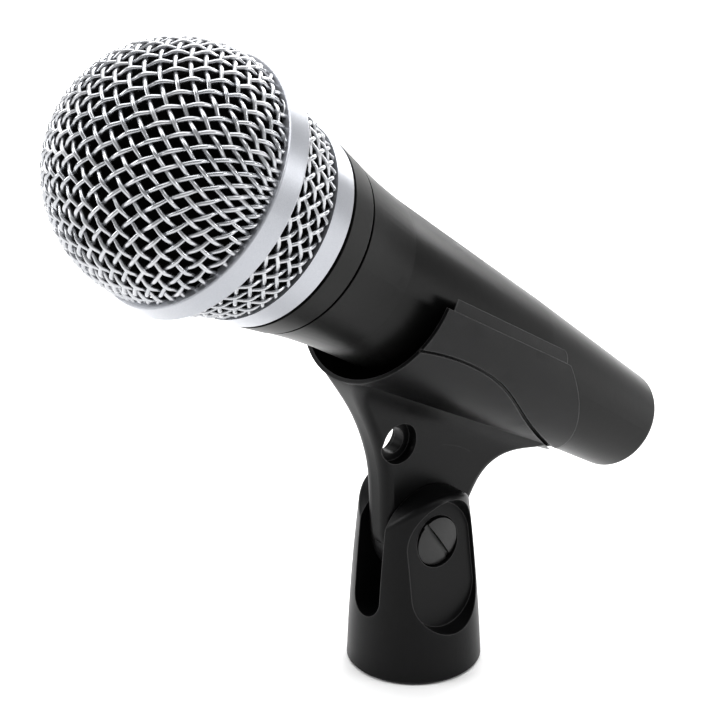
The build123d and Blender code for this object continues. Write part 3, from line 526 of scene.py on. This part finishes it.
# %% Finish the CAD nodes
for subpart in record["subparts"]:
    mesh = frame["nodes"][subpart["node"]].data
    mesh.materials.clear()
    mesh.materials.append(finishes[subpart["material_slot"]])
floor_finish = new_finish("pale_floor", roughness=0.7, specular=0.2)
colour_layer(floor_finish, noise(floor_finish, 400.0), (0.90, 0.90, 0.90), (0.94, 0.94, 0.94))
floor.data.materials.append(floor_finish)
print("Finished nodes:", len(record["subparts"]))

# %% [markdown]
# ## The net that becomes the grille
#
# A grille basket starts as flat woven wire mesh that is pressed over a ball. The wires can't
# stretch, so every side of every mesh keeps its length and only the angles change: squares at
# the pole shear to diamonds on the diagonals. That is called a Chebyshev net. Wrapping a flat
# grid round a ball, or a ball's own rings and spokes, would both look wrong. The net is worked
# out one knot at a time: two rows of knots run straight from the pole, and each further knot is
# the mirror of its neighbour's neighbour, so that all four sides of the mesh are equal.


# %% Drape a net over a ball
# More knots than any wire has, and how narrow a mesh may be as a share of the pitch
MOST_KNOTS = 64
LEAST_WIDTH = 0.25


def draped_net(pole, first, pitch, lowest):
    """Knots of a net on a unit ball, as {(row, column): direction}, down to a lowest height.

    pole and first are square to each other; pitch is the angle between knots."""
    second = pole.cross(first)
    knots = {}
    reach = range(1, MOST_KNOTS)
    for row_way in (1, -1):
        for column_way in (1, -1):
            knots[0, 0] = pole
            for step in reach:
                turn = step * pitch
                along_row = pole * math.cos(turn) + first * row_way * math.sin(turn)
                along_column = pole * math.cos(turn) + second * column_way * math.sin(turn)
                if along_row.dot(pole) > lowest and turn < math.pi:
                    knots[row_way * step, 0] = along_row
                    knots[0, column_way * step] = along_column
            for row in reach:
                for column in reach:
                    beside = knots.get((row_way * (row - 1), column_way * column))
                    below = knots.get((row_way * row, column_way * (column - 1)))
                    corner = knots.get((row_way * (row - 1), column_way * (column - 1)))
                    if beside is None or below is None or corner is None:
                        continue
                    mirror = beside.cross(below)
                    if mirror.length < LEAST_WIDTH * pitch:
                        continue
                    mirror.normalize()
                    knot = corner - 2 * corner.dot(mirror) * mirror
                    if knot.dot(pole) > lowest:
                        knots[row_way * row, column_way * column] = knot
    return knots


# %% [markdown]
# ## From net to woven wire
#
# In plain weave each wire goes over one neighbour and under the next. So the knots of a wire
# are lifted and sunk by turns, and the wires that cross it do the opposite. A smooth curve
# through them with a round section is one wire. The curves become a mesh, and the mesh is cut
# off flat where the grille meets its rings. Modelling one mesh of the net with bpy.ops and
# copying it was the other way, but no two meshes of a draped net have the same shape.


# %% Weave wires over a net
def wires_of(knots):
    """The rows and columns of a net, as lists of (direction, over or under)."""
    wires = []
    for way in (0, 1):
        for line in sorted({knot[way] for knot in knots}):
            steps = sorted(knot[1 - way] for knot in knots if knot[way] == line)
            run = []
            step_before = None
            for step in steps:
                if run and step > step_before + 1:
                    wires.append(run)
                    run = []
                knot = (line, step) if way == 0 else (step, line)
                run.append((knots[knot], 1 if (line + step + way) % 2 else -1))
                step_before = step
            wires.append(run)
    return [run for run in wires if len(run) > 2]


def pick(piece):
    """Select one piece alone, for the operators that follow."""
    bpy.ops.object.select_all(action="DESELECT")
    piece.select_set(True)
    bpy.context.view_layer.objects.active = piece


def weave(name, wires, thickness):
    """Round wires through lists of points, as one mesh piece."""
    curve = bpy.data.curves.new(name, "CURVE")
    curve.dimensions = "3D"
    curve.bevel_depth = thickness / 2
    curve.bevel_resolution = 2
    curve.resolution_u = 4
    curve.use_fill_caps = True
    for points in wires:
        spline = curve.splines.new("NURBS")
        spline.points.add(len(points) - 1)
        for control, point in zip(spline.points, points):
            control.co = (*point, 1)
        spline.order_u = 3
        spline.use_endpoint_u = True
    piece = bpy.data.objects.new(name, curve)
    bpy.context.scene.collection.objects.link(piece)
    pick(piece)
    bpy.ops.object.convert(target="MESH")
    print(name, "has wires:", len(wires), "and crossings:", sum(map(len, wires)) // 2)
    return bpy.context.object


def cut_at(piece, station, keep_front):
    """Cut a piece flat across the microphone and close the cut."""
    pick(piece)
    bpy.ops.object.mode_set(mode="EDIT")
    bpy.ops.mesh.select_all(action="SELECT")
    bpy.ops.mesh.bisect(
        plane_co=tail + forward * station,
        plane_no=forward,
        use_fill=True,
        clear_inner=keep_front,
        clear_outer=not keep_front,
    )
    bpy.ops.object.mode_set(mode="OBJECT")


def tidy_mesh(piece, slot, angle=60.0):
    """Faces outwards, smooth over gentle angles, with the finish of its slot."""
    pick(piece)
    bpy.ops.object.mode_set(mode="EDIT")
    bpy.ops.mesh.select_all(action="SELECT")
    bpy.ops.mesh.normals_make_consistent(inside=False)
    bpy.ops.object.mode_set(mode="OBJECT")
    bpy.ops.object.shade_smooth_by_angle(angle=math.radians(angle))
    piece.data.materials.clear()
    piece.data.materials.append(finishes[slot])
    piece.data.calc_loop_triangles()
    print(piece.name, "triangles:", len(piece.data.loop_triangles))
    return piece


# %% [markdown]
# ## The front grille
#
# The dome of the front grille is held under the head band's front edge. Its wires are a little
# under a millimetre thick and cross nearly three millimetres apart. The net is turned so that
# its diagonals lie up and to the sides, as the basket happens to be screwed on.

# %% Weave the front grille
WIRE = 0.90 * MM
CRIMP = 0.36 * MM
PITCH = 2.74 * MM
WEAVE_TURN = math.radians(41)
# The net goes a little past the ball's waist, to this height on a ball of radius 1
NET_END = -0.24
# A cut this far outside a grille's end leaves the end as it is
CUT_MARGIN = 0.2 * MM
weave_first = upward * math.cos(WEAVE_TURN) + across * math.sin(WEAVE_TURN)
wire_reach = CRIMP + WIRE / 2
dome_middle = dome_radius - wire_reach
front_knots = draped_net(forward, weave_first, PITCH / dome_middle, NET_END)


def on_dome(direction, lift):
    """A point over the front grille's middle surface."""
    return dome_centre + direction * (dome_middle + lift)


# A quadratic curve reaches half the height of points that alternate, so they are lifted twice
front_wires = [
    [on_dome(direction, 2 * over * CRIMP) for direction, over in run]
    for run in wires_of(front_knots)
]
front_grille = weave("woven_front_grille", front_wires, WIRE)
cut_at(front_grille, dome_rear - CUT_MARGIN, keep_front=True)
tidy_mesh(front_grille, "silver_wire")
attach(front_grille, "grille")
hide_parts("front_grille_mesh")

# %% [markdown]
# ## The rear grille
#
# The rear grille is the waist of a basket that was drawn over a taper. Drawing turns its meshes
# on their corners, so its wires wind round the waist both ways as screw lines, like the threads
# of a woven hose. Each wire steps half a mesh round for every row that it goes down, and goes
# over and under by turns. The other way was to drape a second net, but so near a net's edge its
# diamonds close up, and the real ones stay open.

# %% Weave the rear grille
WIRES_ROUND = 38
ROWS = 7
# Rows that run on past the rear end, under the collar, before they are cut
SPARE_ROWS = 2
# The collar covers this much of the rear end, so the wires stop there
COLLAR_REACH = 0.45 * MM
basket_length = basket_front - basket_rear
basket_taper = (basket_front_radius - basket_rear_radius) / basket_length
row_height = basket_length / ROWS


def on_basket(behind, angle, lift):
    """A point over the rear grille's middle surface, so far behind its front edge."""
    outwards = upward * math.cos(angle) + across * math.sin(angle)
    radius = basket_front_radius - basket_taper * behind - wire_reach + lift
    return tail + forward * (basket_front - behind) + outwards * radius


rear_wires = []
for way in (1, -1):
    for wire in range(WIRES_ROUND):
        rear_wires.append(
            [
                on_basket(
                    row * row_height,
                    (2 * wire + way * row) * math.pi / WIRES_ROUND,
                    2 * CRIMP * way * (1 if row % 2 else -1),
                )
                for row in range(-1, ROWS + SPARE_ROWS + 1)
            ]
        )
rear_grille = weave("woven_rear_grille", rear_wires, WIRE)
cut_at(rear_grille, basket_front + CUT_MARGIN, keep_front=False)
cut_at(rear_grille, basket_rear + COLLAR_REACH, keep_front=True)
tidy_mesh(rear_grille, "silver_wire")
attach(rear_grille, "grille")
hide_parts("rear_grille_mesh")

# %% [markdown]
# ## The foam behind the wires
#
# A thin shell of open foam lines the whole basket and keeps breath and wind off the capsule. It
# could be cut from sheet, but the real one is moulded to the basket: a ball in front and a
# taper behind. So a ball is cut across, its rim is drawn back along the basket, the shell is
# given its thickness, and its skin is roughened a little, because foam is never true.

# %% Shape the foam
# The ball is cut this far behind its centre, and the foam's inside is measured past the taper
CUT_BEHIND = 0.5 * MM
TAPER_END = 12 * MM
FOAM_SLICES = 12
FOAM_ROUGHNESS = 0.25 * MM
foam_points = [vertex.co for vertex in frame["nodes"]["foam_liner"].data.vertices]
foam_radius = max(radius_of(point) for point in foam_points)
foam_thickness = foam_radius - min(
    radius_of(point)
    for point in foam_points
    if foam_rear + TAPER_END < station_of(point) < dome_tip - dome_radius
)
print("Foam radius and thickness in mm:", in_mm((foam_radius, foam_thickness)))
foam_centre = tail + forward * (foam_tip - foam_radius)
bpy.ops.object.select_all(action="DESELECT")
bpy.ops.mesh.primitive_uv_sphere_add(
    segments=160, ring_count=90, radius=foam_radius, location=foam_centre, rotation=mic_turn
)
foam = bpy.context.object
foam.name = "foam_shell"
bpy.ops.object.transform_apply(location=True, rotation=True, scale=True)
bpy.ops.object.mode_set(mode="EDIT")
bpy.ops.mesh.select_all(action="SELECT")
bpy.ops.mesh.bisect(
    plane_co=foam_centre - forward * CUT_BEHIND, plane_no=forward, clear_inner=True
)
bpy.ops.mesh.select_all(action="DESELECT")
bpy.ops.mesh.select_mode(type="EDGE")
bpy.ops.mesh.select_non_manifold()
foam_run = station_of(foam_centre) - CUT_BEHIND - foam_rear
foam_shrink = (foam_rear_radius / foam_radius) ** (1 / FOAM_SLICES)
for step in range(FOAM_SLICES):
    ring_centre = foam_centre - forward * (CUT_BEHIND + foam_run * (step + 1) / FOAM_SLICES)
    bpy.ops.mesh.extrude_edges_move(
        TRANSFORM_OT_translate={"value": -forward * foam_run / FOAM_SLICES}
    )
    bpy.ops.transform.resize(value=(foam_shrink,) * 3, center_override=ring_centre)
bpy.ops.object.mode_set(mode="OBJECT")
thicken = foam.modifiers.new("thickness", "SOLIDIFY")
thicken.thickness = foam_thickness
thicken.offset = -1
bpy.ops.object.modifier_apply(modifier="thickness")
skin_noise = bpy.data.textures.new("foam_skin", "CLOUDS")
skin_noise.noise_scale = 2.2 * MM
roughen = foam.modifiers.new("skin", "DISPLACE")
roughen.texture = skin_noise
roughen.texture_coords = "LOCAL"
roughen.strength = FOAM_ROUGHNESS
roughen.mid_level = 1.0
bpy.ops.object.modifier_apply(modifier="skin")
tidy_mesh(foam, "foam")
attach(foam, "grille")
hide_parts("foam_liner")

# %% [markdown]
# ## The acoustic cloth
#
# A round patch of fine cloth is glued over the holes of the capsule's cap to damp them. It is a
# disc a few tenths thick, pulled tight at its rim and slightly crowned by the glue. A small
# filled circle grows outwards ring by ring, each a little lower than the last, and the sheet
# is then given its thickness.

# %% Cut the cloth
CLOTH_RINGS = 14
# The first circle's share of the patch's radius
FIRST_CIRCLE = 0.12
CROWN = 0.25 * MM
# The crown has its room from the patch's own thickness
CROWN_ROOM = 0.2 * MM
cloth_low, cloth_high, cloth_radius, _ = profile("capsule_cloth")
cloth_centre = tail + forward * cloth_high
bpy.ops.object.select_all(action="DESELECT")
bpy.ops.mesh.primitive_circle_add(
    vertices=64,
    radius=cloth_radius * FIRST_CIRCLE,
    fill_type="NGON",
    location=cloth_centre,
    rotation=mic_turn,
)
cloth = bpy.context.object
cloth.name = "cloth_patch"
bpy.ops.object.transform_apply(location=True, rotation=True, scale=True)
bpy.ops.object.mode_set(mode="EDIT")
for ring in range(1, CLOTH_RINGS + 1):
    before = FIRST_CIRCLE + (1 - FIRST_CIRCLE) * (ring - 1) / CLOTH_RINGS
    after = FIRST_CIRCLE + (1 - FIRST_CIRCLE) * ring / CLOTH_RINGS
    drop = CROWN * (after**2 - before**2)
    bpy.ops.mesh.select_mode(type="EDGE")
    bpy.ops.mesh.select_all(action="DESELECT")
    bpy.ops.mesh.select_non_manifold()
    bpy.ops.mesh.extrude_edges_move(TRANSFORM_OT_translate={"value": -forward * drop})
    bpy.ops.transform.resize(
        value=(after / before,) * 3, center_override=cloth_centre - forward * CROWN * after**2
    )
bpy.ops.object.mode_set(mode="OBJECT")
thicken = cloth.modifiers.new("thickness", "SOLIDIFY")
thicken.thickness = (cloth_high - cloth_low) - CROWN_ROOM
thicken.offset = -1
bpy.ops.object.modifier_apply(modifier="thickness")
tidy_mesh(cloth, "capsule_cloth")
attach(cloth, "microphone")
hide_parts("capsule_cloth")

# %% [markdown]
# ## The thread in the bush
#
# A stand's thread is 5/8 inch wide with 27 turns to the inch. The CAD bush has a plain bore at
# the thread's inner width, which is what a fit is checked against. The ridges are added here: a
# small pointed section is swept up a screw line by the Screw modifier.

# %% Cut the thread
thread = mounts["stand_thread"]["dims"]
thread_radius = thread["r_mm"] * MM
thread_length = thread["length_mm"] * MM
TURN_HEIGHT = 25.4 / 27 * MM
RIDGE_RADIUS = 0.42 * MM
# The share of the ridge's radius by which its middle stands inside the bore
RIDGE_INSET = 0.35
STEPS_ROUND = 64
thread_turns = int(thread_length / TURN_HEIGHT) - 1
bpy.ops.object.select_all(action="DESELECT")
bpy.ops.mesh.primitive_circle_add(
    vertices=3,
    radius=RIDGE_RADIUS,
    fill_type="NOTHING",
    location=(thread_radius - RIDGE_RADIUS * RIDGE_INSET, 0, TURN_HEIGHT),
    rotation=(math.radians(90), 0, 0),
)
ridge = bpy.context.object
ridge.name = "bush_thread"
bpy.ops.object.transform_apply(location=True, rotation=True, scale=True)
sweep = ridge.modifiers.new("sweep", "SCREW")
sweep.axis = "Z"
sweep.screw_offset = TURN_HEIGHT
sweep.iterations = thread_turns
sweep.steps = STEPS_ROUND
sweep.render_steps = STEPS_ROUND
sweep.use_normal_calculate = True
bpy.ops.object.modifier_apply(modifier="sweep")
bpy.ops.object.mode_set(mode="EDIT")
bpy.ops.mesh.select_all(action="DESELECT")
bpy.ops.mesh.select_mode(type="EDGE")
bpy.ops.mesh.select_non_manifold()
bpy.ops.mesh.edge_face_add()
bpy.ops.object.mode_set(mode="OBJECT")
tidy_mesh(ridge, "brass", angle=40.0)
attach(ridge, "stand_base")
